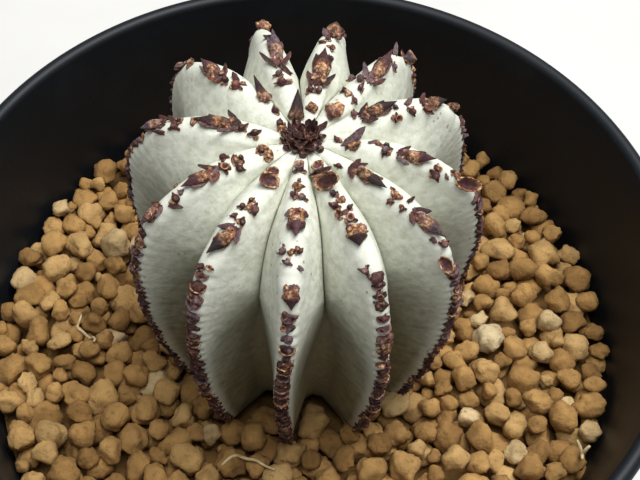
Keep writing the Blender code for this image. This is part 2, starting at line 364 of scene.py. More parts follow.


# Where the dried stalks grow

# Each rib's larger stalks, read off the photo in pixels of its frame: the kind and its place, then
# its width; a long one has the place of its tip before its width
stalkMarks = (
    (("cup", 300, 170, 12), ("bud", 299, 181, 4), ("knot", 298, 188, 13), ("bud", 294, 196, 7),
     ("bud", 302, 198, 8), ("roof", 297, 210, 296, 240, 20), ("bud", 284, 252, 8), ("knot", 292, 253, 10),
     ("bud", 299, 252, 7), ("bud", 288, 263, 7), ("leaf", 298, 267, 303, 271, 5),
     ("roof", 291, 285, 291, 310, 19)),
    (("boat", 279, 172, 265, 174, 12), ("boat", 278, 184, 257, 177, 16), ("bud", 251, 201, 6),
     ("bud", 243, 207, 7), ("knot", 250, 207, 10), ("bud", 254, 210, 9), ("bud", 235, 216, 6),
     ("bud", 242, 222, 8), ("roof", 237, 228, 207, 256, 18), ("bud", 202, 266, 8), ("cup", 210, 267, 6)),
    (("bud", 261, 143, 7), ("knot", 262, 150, 15), ("knot", 269, 156, 12), ("bud", 241, 159, 6),
     ("bud", 239, 168, 8), ("knot", 235, 162, 9), ("bud", 224, 159, 8), ("cup", 225, 169, 9),
     ("leaf", 221, 168, 207, 169, 6), ("roof", 217, 171, 175, 179, 18), ("bud", 176, 187, 4),
     ("bud", 181, 193, 5), ("bud", 176, 198, 9),
     ("leaf", 170, 205, 184, 208, 6), ("roof", 161, 205, 135, 219, 15), ("cup", 151, 210, 9)),
    (("bud", 280, 124, 8), ("knot", 282, 132, 12), ("bud", 284, 142, 7), ("bud", 254, 134, 9),
     ("bud", 242, 129, 8), ("bud", 238, 124, 6), ("roof", 238, 126, 193, 113, 17), ("knot", 194, 122, 10),
     ("bud", 175, 127, 8), ("bud", 181, 116, 6), ("leaf", 178, 117, 169, 117, 6),
     ("roof", 166, 122, 137, 124, 15), ("leaf", 164, 133, 154, 131, 5)),
    (("knot", 263, 100, 18), ("bud", 274, 112, 8), ("spine", 264, 98, 253, 76, 13), ("bud", 237, 86, 9),
     ("knot", 243, 84, 7), ("leaf", 242, 76, 233, 73, 7), ("bud", 226, 81, 8), ("roof", 222, 80, 202, 53, 17),
     ("knot", 191, 64, 11), ("roof", 185, 62, 173, 70, 10)),
    (("spine", 296, 120, 298, 89, 17), ("bud", 279, 75, 7), ("bud", 282, 84, 9), ("knot", 289, 82, 8),
     ("leaf", 290, 74, 278, 63, 7), ("roof", 279, 67, 272, 37, 17), ("leaf", 272, 37, 262, 38, 6),
     ("knot", 262, 25, 16)),
    (("knot", 312, 108, 15), ("bud", 311, 91, 7), ("bud", 318, 92, 7), ("roof", 318, 86, 325, 51, 21),
     ("bud", 329, 60, 7), ("bud", 318, 57, 4), ("bud", 322, 43, 5), ("bud", 328, 40, 5), ("cup", 331, 49, 6),
     ("roof", 332, 38, 335, 13, 20)),
    (("knot", 334, 112, 20), ("bud", 353, 79, 7), ("bud", 361, 80, 8), ("bud", 360, 88, 7),
     ("bud", 345, 91, 6), ("knot", 349, 94, 9), ("bud", 354, 101, 6), ("roof", 370, 84, 386, 51, 17),
     ("bud", 389, 61, 6), ("bud", 393, 67, 6), ("leaf", 395, 55, 396, 46, 5), ("cup", 406, 60, 13),
     ("bud", 412, 76, 5), ("knot", 413, 81, 6)),
    (("bud", 354, 116, 8), ("roof", 361, 118, 397, 103, 17), ("bud", 395, 108, 5), ("cup", 397, 118, 8),
     ("bud", 411, 112, 8), ("leaf", 406, 105, 412, 98, 6), ("roof", 422, 105, 450, 93, 16),
     ("knot", 456, 104, 14), ("bud", 457, 99, 7), ("leaf", 424, 108, 433, 115, 6), ("bud", 444, 121, 6),
     ("leaf", 453, 122, 464, 126, 7)),
    (("bud", 337, 141, 7), ("leaf", 345, 146, 366, 128, 11), ("knot", 355, 147, 15),
     ("leaf", 377, 142, 368, 144, 5), ("bud", 386, 140, 7), ("bud", 385, 151, 9), ("knot", 378, 144, 8),
     ("roof", 398, 155, 437, 151, 17), ("knot", 437, 168, 10), ("bud", 435, 174, 9), ("bud", 452, 172, 4),
     ("bud", 446, 177, 4),
     ("knot", 458, 167, 10), ("boat", 454, 180, 480, 187, 15)),
    (("bud", 339, 166, 6), ("leaf", 352, 168, 361, 160, 8), ("roof", 352, 167, 387, 192, 17),
     ("knot", 396, 196, 10), ("bud", 390, 201, 6), ("bud", 393, 190, 4), ("leaf", 408, 202, 415, 197, 4),
     ("bud", 403, 209, 6), ("roof", 412, 212, 443, 239, 18), ("leaf", 431, 238, 437, 243, 6),
     ("bud", 428, 249, 8), ("boat", 440, 256, 452, 272, 13)),
    (("cup", 321, 171, 14), ("boat", 316, 184, 342, 178, 18), ("bud", 334, 195, 7), ("knot", 342, 200, 10),
     ("bud", 335, 207, 9), ("cup", 341, 214, 9), ("bud", 349, 209, 7), ("cup", 350, 219, 9),
     ("roof", 355, 226, 359, 248, 24), ("leaf", 360, 233, 368, 232, 4), ("bud", 366, 271, 9)),
)
# marks lie on the crest's upper part, and a seat is kept within reach of the crest, in mm
markSize = {"lastShare": 0.42, "reach": 2.0}
# the chain of small stalks on each lower crest, in mm; the shares bound where it may start
chainSize = {
    "below": 1.2, "starts": (0.30, 0.40), "last": 0.955, "step": 1.35, "uneven": 0.22,
    "notch": 0.3, "notchLong": 0.38, "seed": 21,
}


# the pixel that a mark starts at and the one that it ends at
def endsOf(mark):
    return mark[1:3], mark[3:5] if len(mark) == 6 else mark[1:3]


# how far along a rib's crest, in mm, it comes nearest to what a pixel looks at
def runUnder(rib, x, y):
    angle = ribAngle(rib)
    crest = np.array([stemPoint(angle, radius, height) for radius, height in crestPath])
    away = np.linalg.norm(np.cross(crest - np.array(eye), np.array(lookThrough(x, y))), axis=1)
    away[crestShares > markSize["lastShare"]] = np.inf
    return float(crestRun[np.argmin(away)])


# how far along its crest, in mm, each seat of a rib's chain lies: it starts below the rib's marks
def chainSeats(rib):
    s = chainSize
    draw = random.Random(s["seed"] + rib)
    marked = max(runUnder(rib, *place) for mark in stalkMarks[rib] for place in endsOf(mark))
    earliest, latest, end = np.interp((*s["starts"], s["last"]), crestShares, crestRun)
    at = min(max(marked + s["below"], earliest), latest)
    seats = []
    while at < end:
        seats.append(at)
        at += s["step"] * draw.uniform(1 - s["uneven"], 1 + s["uneven"])
    return np.array(seats)


ribSeats = [chainSeats(rib) for rib in range(stemSize["ribs"])]
ribPads = [np.array([runUnder(rib, *mark[1:3]) for mark in marks]) for rib, marks in enumerate(stalkMarks)]


# Stem

# how far a crest wanders sideways, how far it stands out, and how thick its white bloom is: it swells and
# whitens under its larger stalks, and is notched under each seat of its chain
def crestShape(rib, share):
    s = stemSize
    phase = s["swayPhase"] * rib
    ends = min(1, share / s["ends"][0]) * min(1, (1 - share) / s["ends"][1])
    sway = sum(size * math.sin(waves * share + (i + 1) * phase) for i, (size, waves) in enumerate(s["sway"]))
    run = np.interp(share, crestShares, crestRun)
    pad, padLong = s["pad"]
    stand = s["stand"][0] * math.sin(s["stand"][1] * share + phase)
    swell = float(np.exp(-((run - ribPads[rib]) / padLong) ** 2).max())
    stand += pad * swell
    stand -= chainSize["notch"] * np.exp(-((run - ribSeats[rib]) / chainSize["notchLong"]) ** 2).sum()
    bloom = max(swell, s["chainBloom"]) if run > ribSeats[rib][0] else swell
    return sway * ends, stand * ends, bloom * ends


# one closed row of points, clockwise, and how white each one is: 0 in a groove, 1 on a crest, and more
# where the crest's bloom is thick; low values also carry the skin's painted shade into the grooves
def stemRing(share):
    s = stemSize
    crestRadius, crestHeight, grooveRadius, grooveHeight = onOutline(share)
    depth = math.hypot(crestRadius - grooveRadius, crestHeight - grooveHeight)
    touch, bulge = np.interp(share, *s["touch"]), np.interp(share, *s["bulge"])
    thinFrom, thinBy = s["thin"]
    crestHalf = s["crestHalf"] * (1 - thinBy * max(0, (share - thinFrom) / (1 - thinFrom)))
    foldSize, foldsDown, foldsRound, foldsAcross = s["fold"]
    parts = [(i / s["sideSteps"]) ** s["crowd"] for i in range(1, s["sideSteps"])]
    ring, near = [], []
    for rib in range(s["ribs"]):
        here, following = ribAngle(rib), ribAngle(rib + 1)
        half = (here - following) / 2
        drift = s["drift"][0] * math.sin(s["drift"][1] * share + s["driftPhase"] * rib)
        for side, angle, owner in ((-1, here, rib), (1, following, (rib + 1) % s["ribs"])):
            sway, stand, bloom = crestShape(owner, share)
            row = []
            for part in ([0] + parts if side < 0 else parts):
                radius = crestRadius + part * (grooveRadius - crestRadius)
                height = crestHeight + part * (grooveHeight - crestHeight)
                nose = math.sqrt(1 - (1 - min(1, part * depth / s["nose"])) ** 2)
                room = radius * planScale(angle) * math.tan(half)
                fold = foldSize * math.sin(foldsDown * share + foldsRound * owner + foldsAcross * part)
                fold *= math.sin(math.pi * part)
                spread = max(0, room - crestHalf) * min(1, part / touch) ** bulge
                wide = min(crestHalf * nose + spread + fold, room * s["close"])
                fade = (1 - part) ** 2
                sideways = side * wide + sway * fade + drift * part ** 2
                whiteness = 1 - part + s["bloom"] * bloom * fade
                row.append((stemPoint(angle, radius + stand * fade ** 3, height, sideways), whiteness))
            if side > 0:
                row.reverse()
            ring += [point for point, _ in row]
            near += [value for _, value in row]
            if side < 0:
                ring.append(stemPoint((here + following) / 2, grooveRadius, grooveHeight, drift))
                near.append(0)
    return ring, near


# streaks on the lower flanks, in mm: how far apart they lie, how long they are, and how deep a flank is
skinSize = {"streakApart": 1.0, "streakLong": 4.0, "flankDeep": 10.0}


# living skin under a waxy bloom: chalky grey-white, whitest on the crests, greener and browner low down,
# with painted shade darkening the low flanks and the grooves
def skinMaterial():
    s = skinSize
    made, tree, shader, place = newMaterial("euphorbiaSkinWaxed")
    crest = addNode(tree, "Attribute", {"attribute_name": "nearCrest"}).outputs["Fac"]
    down = addNode(tree, "Attribute", {"attribute_name": "wayDown"}).outputs["Fac"]
    patches = addNode(tree, "TexNoise", None, {
        "Vector": place, "Scale": featureOf(7), "Detail": 5.0, "Roughness": 0.6}).outputs["Fac"]
    fine = addNode(tree, "TexNoise", None, {
        "Vector": place, "Scale": featureOf(1.1), "Detail": 4.0, "Roughness": 0.6}).outputs["Fac"]
    # the wax thins down the rib and into the valleys, where the colour also darkens as painted shade
    waxThinAndShaded = addNode(tree, "Math", {"operation": "MULTIPLY_ADD"}, {0: crest, 1: -0.28, 2: down}).outputs[0]
    low = addNode(tree, "MapRange", {"interpolation_type": "SMOOTHSTEP"}, {
        "Value": waxThinAndShaded, "From Min": 0.0, "From Max": 0.75}).outputs[0]
    thin = addNode(tree, "Math", {"operation": "MULTIPLY_ADD"}, {0: patches, 1: 0.4, 2: low}).outputs[0]
    # light to dark: the dark stops are partly the skin's own olive-brown and partly painted shade
    waxedAndShaded = addNode(tree, "ValToRGB", None, {"Fac": thin}, (
        (0.2, "#DFE1D3"), (0.42, "#CBCDBD"), (0.7, "#A6A590"), (1.0, "#958E72"))).outputs[0]
    mottle = addNode(tree, "ValToRGB", None, {"Fac": fine}, ((0.35, "#D2D1C9"), (0.6, "#FFFFFF"))).outputs[0]
    flank = addNode(tree, "Mix", {"data_type": "RGBA", "blend_type": "MULTIPLY"}, {
        0: 0.6, 6: waxedAndShaded, 7: mottle}).outputs[2]
    # streaks run in from the crest on the lower half
    across = float(crestRun[-1]) / s["streakApart"]
    along = addNode(tree, "Math", {"operation": "MULTIPLY"}, {0: down, 1: across})
    inward = addNode(tree, "Math", {"operation": "MULTIPLY"}, {0: crest, 1: s["flankDeep"] / s["streakLong"]})
    run = addNode(tree, "CombineXYZ", None, {"X": along.outputs[0], "Y": inward.outputs[0]})
    lines = addNode(tree, "TexNoise", None, {"Vector": run.outputs[0], "Scale": 1.0, "Detail": 3.0})
    line = addNode(tree, "MapRange", None, {
        "Value": lines.outputs["Fac"], "From Min": 0.46, "From Max": 0.66, "To Min": 0.0, "To Max": 0.9})
    edgeward = addNode(tree, "Math", {"operation": "MULTIPLY"}, {0: line.outputs[0], 1: crest})
    streak = addNode(tree, "Math", {"operation": "MULTIPLY"}, {0: edgeward.outputs[0], 1: low})
    streaked = addNode(tree, "Mix", {"data_type": "RGBA"}, {
        0: streak.outputs[0], 6: flank, 7: toLinear("#5C6038")}).outputs[2]
    # the bloom is thickest on the crest, most of all under the larger stalks and along the chain
    band = addNode(tree, "MapRange", {"interpolation_type": "SMOOTHSTEP"}, {
        "Value": crest, "From Min": 0.84, "From Max": 1.18, "To Min": 0.0, "To Max": 0.95})
    bloom = addNode(tree, "Mix", {"data_type": "RGBA"}, {
        0: band.outputs[0], 6: streaked, 7: toLinear("#D3D5C7")}).outputs[2]
    # corky specks, a quarter to half a millimetre wide
    cells = addNode(tree, "TexVoronoi", None, {"Vector": place, "Scale": featureOf(1.5)})
    dot = addNode(tree, "MapRange", None, {
        "Value": cells.outputs["Distance"], "From Min": 0.08, "From Max": 0.17, "To Min": 0.7, "To Max": 0.0})
    some = addNode(tree, "MapRange", None, {"Value": patches, "From Min": 0.52, "From Max": 0.60})
    speck = addNode(tree, "Math", {"operation": "MULTIPLY"}, {0: dot.outputs[0], 1: some.outputs[0]})
    speckled = addNode(tree, "Mix", {"data_type": "RGBA"}, {
        0: speck.outputs[0], 6: bloom, 7: toLinear("#7C6A4C")})
    rough = addNode(tree, "MapRange", None, {"Value": fine, "To Min": 0.52, "To Max": 0.74})
    bump = addNode(tree, "Bump", None, {"Height": fine, "Strength": 0.6, "Distance": 0.2 * mm})
    setInputs(tree, shader, {
        "Base Color": speckled.outputs[2], "Roughness": rough.outputs[0], "IOR": 1.44,
        "Normal": bump.outputs[0]})
    return made


# makes the stem, and gives back its surface, facing out, for what grows on it
def makeStem():
    s = stemSize
    rings, near, down = [], [], []
    for share in np.linspace(0, 1, s["rows"]):
        ring, crest = stemRing(share)
        rings.append(np.array(ring))
        near += crest
        down += [share] * len(ring)
    count = len(rings[0])
    underside = ribOutline[-1][1]
    flat = (rings[-1] - stemAxis)[:, :2]
    ways = flat / np.linalg.norm(flat, axis=1)[:, None]
    for radius, depth in ((s["neck"], 0), *s["root"]):
        rings.append(np.column_stack([ways * radius, np.full(count, underside - depth)]) + stemAxis)
        near += [s["rootWhite"]] * count
        down += [1] * count
    ends = np.array([stemAxis + (0, 0, ribOutline[0][3]), stemAxis + (0, 0, underside - s["rootDepth"])])
    points = np.concatenate([*rings, ends])
    faces = skinFaces(len(rings), count)
    lastRow = (len(rings) - 1) * count
    for i in range(count):
        j = (i + 1) % count
        faces.append((j, i, len(points) - 2))
        faces.append((lastRow + i, lastRow + j, len(points) - 1))
    values = {"nearCrest": near + [s["crownWhite"], s["rootWhite"]], "wayDown": down + [0, 1]}
    meshPiece("stemRibbed", points, faces, skinMaterial(), ["stem"], values)
    print("stem made")
    return BVHTree.FromPolygons(points.tolist(), faces)


# Soil

soilSize = {
    "bed": 62.6, "level": 67.0, "radii": (1.05, 2.5), "mix": (2.0, 1.6), "tries": 50, "most": 1400,
    "misses": 30, "shrink": 0.88, "flat": 0.84, "seed": 5, "topLayer": 2.1, "topCuts": 5, "underCuts": 3,
    "piece": 240, "palePlace": (28.5, 0.1), "paleRadius": 2.3, "paleSunk": 0.6, "presses": 5, "rough": 1.35,
    # shares of a granule's radius: its room beside and outside the stem, and how far it may stand proud
    "beside": 0.8, "clear": 0.7, "proud": 0.9,
    # how far below the level something lies that falls between the granules, in mm
    "gap": 2.5,
}
# the bed under the granules, with a hollow for the stem's root that tapers downwards, in mm
bedSize = {
    "low": 3.9, "wallGap": 0.3, "neckGap": 0.4, "throat": (0.6, 60.5), "taper": ((2.6, 51.5), (0, 39.0)),
    "hollowWide": 11.5, "hollowLow": 5, "steps": 96,
}
# shares of a lump's radius: where its sides are pressed, how much gives way there, how it is stretched,
# and its hollows with their waves
lumpSize = {
    "pressed": (0.62, 0.86), "gives": 0.75, "stretch": (0.84, 1.12),
    "hollows": ((0.06, 2.0), (0.035, 4.0), (0.02, 8.0), (0.012, 15.0)),
}


# porous clay, fired low: matt tan to orange-brown, each granule its own tone, pitted and dusty, with painted
# shade in the pits
def granuleMaterial():
    made, tree, shader, place = newMaterial("clayGranuleFired")
    tone = addNode(tree, "Attribute", {"attribute_name": "tone"}).outputs["Fac"]
    pits = addNode(tree, "TexNoise", None, {
        "Vector": place, "Scale": featureOf(0.9), "Detail": 6.0, "Roughness": 0.7}).outputs["Fac"]
    patches = addNode(tree, "TexNoise", None, {
        "Vector": place, "Scale": featureOf(3), "Detail": 3.0}).outputs["Fac"]
    body = addNode(tree, "ValToRGB", None, {"Fac": tone}, (
        (0.0, "#96703F"), (0.35, "#B0874F"), (0.7, "#C1975C"), (0.92, "#CBA66D"), (1.0, "#E0CBA0")))
    shade = addNode(tree, "ValToRGB", None, {"Fac": patches}, ((0.3, "#A8A49C"), (0.7, "#FFFFFF")))
    patched = addNode(tree, "Mix", {"data_type": "RGBA", "blend_type": "MULTIPLY"}, {
        0: 0.7, 6: body.outputs[0], 7: shade.outputs[0]})
    # painted shade: the pits, which the bump sets low, are darkened in the colour
    paintedPitShade = addNode(tree, "MapRange", None, {
        "Value": pits, "From Min": 0.30, "From Max": 0.46, "To Min": 0.6, "To Max": 0.0})
    pitShaded = addNode(tree, "Mix", {"data_type": "RGBA"}, {
        0: paintedPitShade.outputs[0], 6: patched.outputs[2], 7: toLinear("#5E4122")})
    bump = addNode(tree, "Bump", None, {"Height": pits, "Strength": 1.0, "Distance": 0.4 * mm})
    setInputs(tree, shader, {
        "Base Color": pitShaded.outputs[2], "Roughness": 0.92, "IOR": 1.5, "Specular IOR Level": 0.3,
        "Normal": bump.outputs[0]})
    return made


# a rounded lump: a ball pressed flat on a few sides, with shallow hollows
def lumpOf(ball, draw, presses, rough):
    s = lumpSize
    points = ball.copy()
    for _ in range(presses):
        way = draw.normal(size=3)
        way /= np.linalg.norm(way)
        beyond = np.maximum(0, points @ way - draw.uniform(*s["pressed"]))
        points -= np.outer(beyond * s["gives"], way)
    for size, waves in s["hollows"]:
        turn = draw.normal(size=(3, 3)) * waves
        points *= (1 + rough * size * np.sin(ball @ turn + draw.uniform(0, 6.28, 3)).sum(1))[:, None]
    return points * draw.uniform(*s["stretch"], 3)


# how far the stem reaches at an angle round its axis, near the soil
def stemReach():
    ring = np.array(stemRing(stemSize["soilShare"])[0]) - stemAxis
    angle = np.arctan2(ring[:, 1], ring[:, 0])
    order = np.argsort(angle)
    reach = np.hypot(ring[:, 0], ring[:, 1])[order]
    return lambda a: np.interp(a, angle[order], reach, period=2 * math.pi)


# where the frame has its separate granules: x, y, z and radius in mm
def proudPlaces(names):
    places = []
    for name in names:
        low, high = (np.array(corner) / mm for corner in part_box(name))
        places.append((*(low + high) / 2, (high - low)[:2].mean() / 2))
    return places


# drops granules one by one, each into the lowest of a few places
def packGranules(places):
    s = soilSize
    draw = np.random.default_rng(s["seed"])
    reach = stemReach()
    wall = potInner(s["level"])
    placed = [*places, (*s["palePlace"], s["level"] - s["paleSunk"], s["paleRadius"])]
    misses = 0
    while len(placed) < s["most"] and misses < s["misses"]:
        radius = s["radii"][0] + (s["radii"][1] - s["radii"][0]) * draw.beta(*s["mix"])
        away = (wall - radius) * np.sqrt(draw.uniform(size=s["tries"]))
        turn = draw.uniform(-math.pi, math.pi, s["tries"])
        x, y = away * np.cos(turn), away * np.sin(turn)
        fromStem = np.hypot(x - stemAxis[0], y - stemAxis[1])
        angle = np.arctan2(y - stemAxis[1], x - stemAxis[0])
        spread = s["beside"] * radius / fromStem
        clear = fromStem > reach(angle) + s["clear"] * radius
        for turned in (angle - spread, angle + spread):
            clear &= fromStem > reach(turned)
        have = np.array(placed)
        apart = np.hypot(have[:, 0] - x[:, None], have[:, 1] - y[:, None])
        touch = (have[:, 3] + radius) * s["shrink"]
        rise = np.sqrt(np.maximum(touch ** 2 - apart ** 2, 0)) * s["flat"]
        height = np.where(apart < touch, have[:, 2] + rise, s["bed"] + radius * s["flat"]).max(axis=1)
        height[~clear] = np.inf
        best = int(np.argmin(height))
        if height[best] + radius * s["flat"] > s["level"] + s["proud"] * radius:
            misses += 1
            continue
        misses = 0
        placed.append((x[best], y[best], height[best], radius))
    return placed


# height of the granules' tops under a place
def soilTop(granules, x, y):
    have = np.array(granules)
    apart = np.hypot(have[:, 0] - x, have[:, 1] - y)
    under = apart < have[:, 3]
    rise = np.sqrt(have[under, 3] ** 2 - apart[under] ** 2) * soilSize["flat"]
    return float((have[under, 2] + rise).max(initial=soilSize["level"] - soilSize["gap"]))


def makeBed(material):
    s = bedSize
    low, top = s["low"], soilSize["bed"]
    neck = stemSize["neck"] + s["neckGap"]
    inwards, throat = s["throat"]
    outline = [(0, low), (potInner(low) - s["wallGap"], low), (potInner(top) - s["wallGap"], top),
               (neck, top), (neck - inwards, throat), *s["taper"]]
    mesh = turnedMesh("soilPacked", outline, s["steps"])
    for vertex in mesh.vertices:
        x, y, z = vertex.co
        if math.hypot(x, y) < s["hollowWide"] * mm and z > s["hollowLow"] * mm:
            vertex.co += Vector((*stemSize["centre"], 0)) * mm
    mesh.materials.append(material)
    mesh.shade_smooth()
    settle(newObject("soilPacked", mesh), ["soil_bed"])


def makeSoil():
    s = soilSize
    material = granuleMaterial()
    names = sorted(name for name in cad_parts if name.startswith("granule_"))
    granules = packGranules(proudPlaces(names))
    draw = np.random.default_rng(s["seed"] + 1)
    topBall, underBall = ballOf(s["topCuts"]), ballOf(s["underCuts"])
    forms = {"proud": [], "top": [], "under": []}
    for i, (x, y, z, radius) in enumerate(granules):
        high = z + radius * s["flat"] > s["level"] - s["topLayer"]
        layer = "proud" if i < len(names) else "top" if high else "under"
        ball, faces = underBall if layer == "under" else topBall
        points = lumpOf(ball, draw, s["presses"], s["rough"]) * (1, 1, s["flat"] * 1.05) * radius
        turn = draw.uniform(0, 2 * math.pi)
        cosine, sine = math.cos(turn), math.sin(turn)
        points = points @ np.array(((cosine, sine, 0), (-sine, cosine, 0), (0, 0, 1))) + (x, y, z)
        tone = 1.0 if i == len(names) else 0.97 * draw.uniform()
        forms[layer].append({"points": points, "faces": faces, "heart": np.zeros(len(points)), "tone": tone})
    addForms("granulesProud", forms["proud"], material, names)
    for k in range(0, len(forms["top"]), s["piece"]):
        name = f"granulesTop{k // s['piece'] + 1}"
        addForms(name, forms["top"][k:k + s["piece"]], material)
    addForms("granulesUnder", forms["under"], material)
    makeBed(material)
    print("soil made:", {layer: len(found) for layer, found in forms.items()})
    return granules


# Dried stalks

stalkSize = {
    "longest": 7.5, "shortest": 1.8, "lean": 0.35, "grazing": 0.3, "small": 0.8,
    "collarRadius": (0.65, 0.9), "collarTall": (0.35, 0.75), "edges": (0, 0.2, 0.9), "collars": 0.75,
    "crust": (1.2, 1.9), "warmths": (0.1, 0.25, 0.8), "seed": 60,
    # the crumpled fibres of a main stalk: shares of its length and width, and their own width as a share
    "crumples": ((0.16, -0.2, 0.46), (0.2, 0.22, 0.5), (0.38, 0.04, 0.58), (0.46, -0.26, 0.34)),
    # its small scales: share of the length, share of the width, turn outwards
    "scales": ((0.02, -0.2, -0.8), (0.0, 0.05, 0.2), (0.04, 0.22, 0.7), (0.36, -0.26, -0.15),
               (0.4, 0.27, 0.1)),
    # its beak: shares of the length and width, the share of the length that it starts at, its lift in mm
    "beakLong": 0.85, "beakHalf": 0.38, "beakFrom": 0.15, "beakLift": 0.2,
}


# dry wood and papery scales: dark red-brown to purple-grey skins, and tan fibres where they broke
def stalkMaterial():
    made, tree, shader, place = newMaterial("driedPeduncleWood")
    tone = addNode(tree, "Attribute", {"attribute_name": "tone"}).outputs["Fac"]
    heart = addNode(tree, "Attribute", {"attribute_name": "heart"}).outputs["Fac"]
    grain = addNode(tree, "TexNoise", None, {
        "Vector": place, "Scale": featureOf(0.5), "Detail": 5.0, "Roughness": 0.7}).outputs["Fac"]
    skin = addNode(tree, "ValToRGB", None, {"Fac": tone}, (
        (0.0, "#2A0F12"), (0.3, "#4E1B1C"), (0.55, "#5C2C2F"), (0.8, "#77626A"), (1.0, "#853F2C")))
    shade = addNode(tree, "ValToRGB", None, {"Fac": grain}, ((0.36, "#4A4442"), (0.64, "#FFFFFF")))
    grained = addNode(tree, "Mix", {"data_type": "RGBA", "blend_type": "MULTIPLY"}, {
        0: 0.85, 6: skin.outputs[0], 7: shade.outputs[0]})
    ragged = addNode(tree, "MapRange", None, {
        "Value": grain, "From Min": 0.40, "From Max": 0.62, "To Min": 0.25, "To Max": 1.15})
    bare = addNode(tree, "Math", {"operation": "MULTIPLY", "use_clamp": True}, {
        0: heart, 1: ragged.outputs[0]})
    fibres = addNode(tree, "ValToRGB", None, {"Fac": grain}, (
        (0.36, "#8A4526"), (0.5, "#C6854F"), (0.64, "#E8CBA2")))
    hearted = addNode(tree, "Mix", {"data_type": "RGBA"}, {
        0: bare.outputs[0], 6: grained.outputs[2], 7: fibres.outputs[0]})
    bump = addNode(tree, "Bump", None, {"Height": grain, "Strength": 1.0, "Distance": 0.25 * mm})
    setInputs(tree, shader, {
        "Base Color": hearted.outputs[2], "Roughness": 0.6, "IOR": 1.5, "Normal": bump.outputs[0]})
    return made


# a form that addForms can join to others
def formOf(points, faces, heart, tone):
    return {"points": np.array(points), "faces": faces, "heart": heart, "tone": tone}


# a small turned form that grows along Z, from rings of (radius, height, heart) for a radius of 1
def turnedForm(outline, size, draw, rough=0.07):
    sides = 12
    points, heart = [], []
    for radius, height, warm in outline:
        for i in range(sides):
            angle = 2 * math.pi * i / sides
            reach = size * radius * (1 + draw.uniform(-rough, rough))
            points.append((reach * math.cos(angle), reach * math.sin(angle), size * height))
            heart.append(warm)
    return formOf(points, closedFaces(len(outline), sides), heart, draw.random())


# a closed flower bud: round, with a small dry tip
def budForm(wide, draw):
    form = turnedForm(((0.5, -0.6, 0.2), (0.88, -0.15, 0), (1.0, 0.4, 0), (0.92, 0.85, 0), (0.62, 1.2, 0),
                       (0.3, 1.34, 0.2), (0.08, 1.3, 0.3)), wide / 2, draw, 0.12)
    return {**form, "points": form["points"] * (1, draw.uniform(0.7, 1), draw.uniform(0.8, 1.2))}


# a stalk that broke off: a short neck, a ragged pale rim and a dark hollow
def cupForm(wide, draw):
    return turnedForm(((0.6, -0.6, 0), (0.7, 0.3, 0), (0.92, 0.85, 0), (1.0, 1.15, 0.5), (0.86, 1.2, 0.9),
                       (0.62, 0.9, 0.3), (0.3, 0.62, 0), (0.06, 0.6, 0)), wide / 2, draw, 0.1)


knotBall, knotFaces = ballOf(4)


# a crumpled knot of dry fibres
def knotForm(wide, draw):
    noise = np.random.default_rng(draw.randrange(10000))
    points = lumpOf(knotBall, noise, 9, 2.6) * (wide / 2, wide / 2.4, wide / 3)
    points[:, 2] += wide / 7
    heart = 0.6 + 0.4 * np.sin(knotBall @ noise.normal(size=3) * 4)
    return formOf(points, knotFaces, heart, draw.random())


# share of the length, share of the half width, heart: base, fibrous middle, and the skin of the tip
beakOutline = (
    (0.0, 0.4, 0.2), (0.06, 0.72, 0.3), (0.14, 0.88, 0.6), (0.22, 0.96, 0.9), (0.3, 1.0, 1.0),
    (0.38, 0.97, 1.0), (0.45, 0.88, 0.8), (0.47, 1.03, 0.2), (0.54, 0.96, 0), (0.63, 0.8, 0),
    (0.72, 0.6, 0), (0.81, 0.4, 0), (0.9, 0.22, 0), (1.0, 0.04, 0))
spineOutline = (
    (0.0, 0.7, 0.6), (0.1, 1.0, 0.4), (0.25, 0.88, 0.15), (0.4, 0.72, 0), (0.55, 0.56, 0), (0.7, 0.4, 0),
    (0.85, 0.22, 0), (1.0, 0.04, 0))


# a keeled beak that lies along X
def beakForm(length, half, draw, outline=beakOutline):
    sides = 16
    phase, curl = draw.uniform(0, 6), draw.uniform(-0.02, 0.1) * length
    points, heart = [], []
    for share, wide, warm in outline:
        for i in range(sides):
            angle = 2 * math.pi * i / sides
            up = math.sin(angle)
            ridges = (0.04 + 0.08 * warm) * math.sin(7 * angle + phase + 3 * share)
            reach = half * wide * (1 + ridges + draw.uniform(-0.08, 0.08))
            height = reach * (0.72 * up + 0.28 * up ** 7 if up > 0 else 0.3 * up)
            points.append((length * share, reach * math.cos(angle), height + curl * share ** 2))
            heart.append(warm * draw.uniform(0.2, 1.0))
    return formOf(points, closedFaces(len(outline), sides), heart, draw.random())


# a straight thorn-like beak, dark but for its foot
def spineForm(length, half, draw):
    return {**beakForm(length, half, draw, spineOutline), "tone": 0.1}


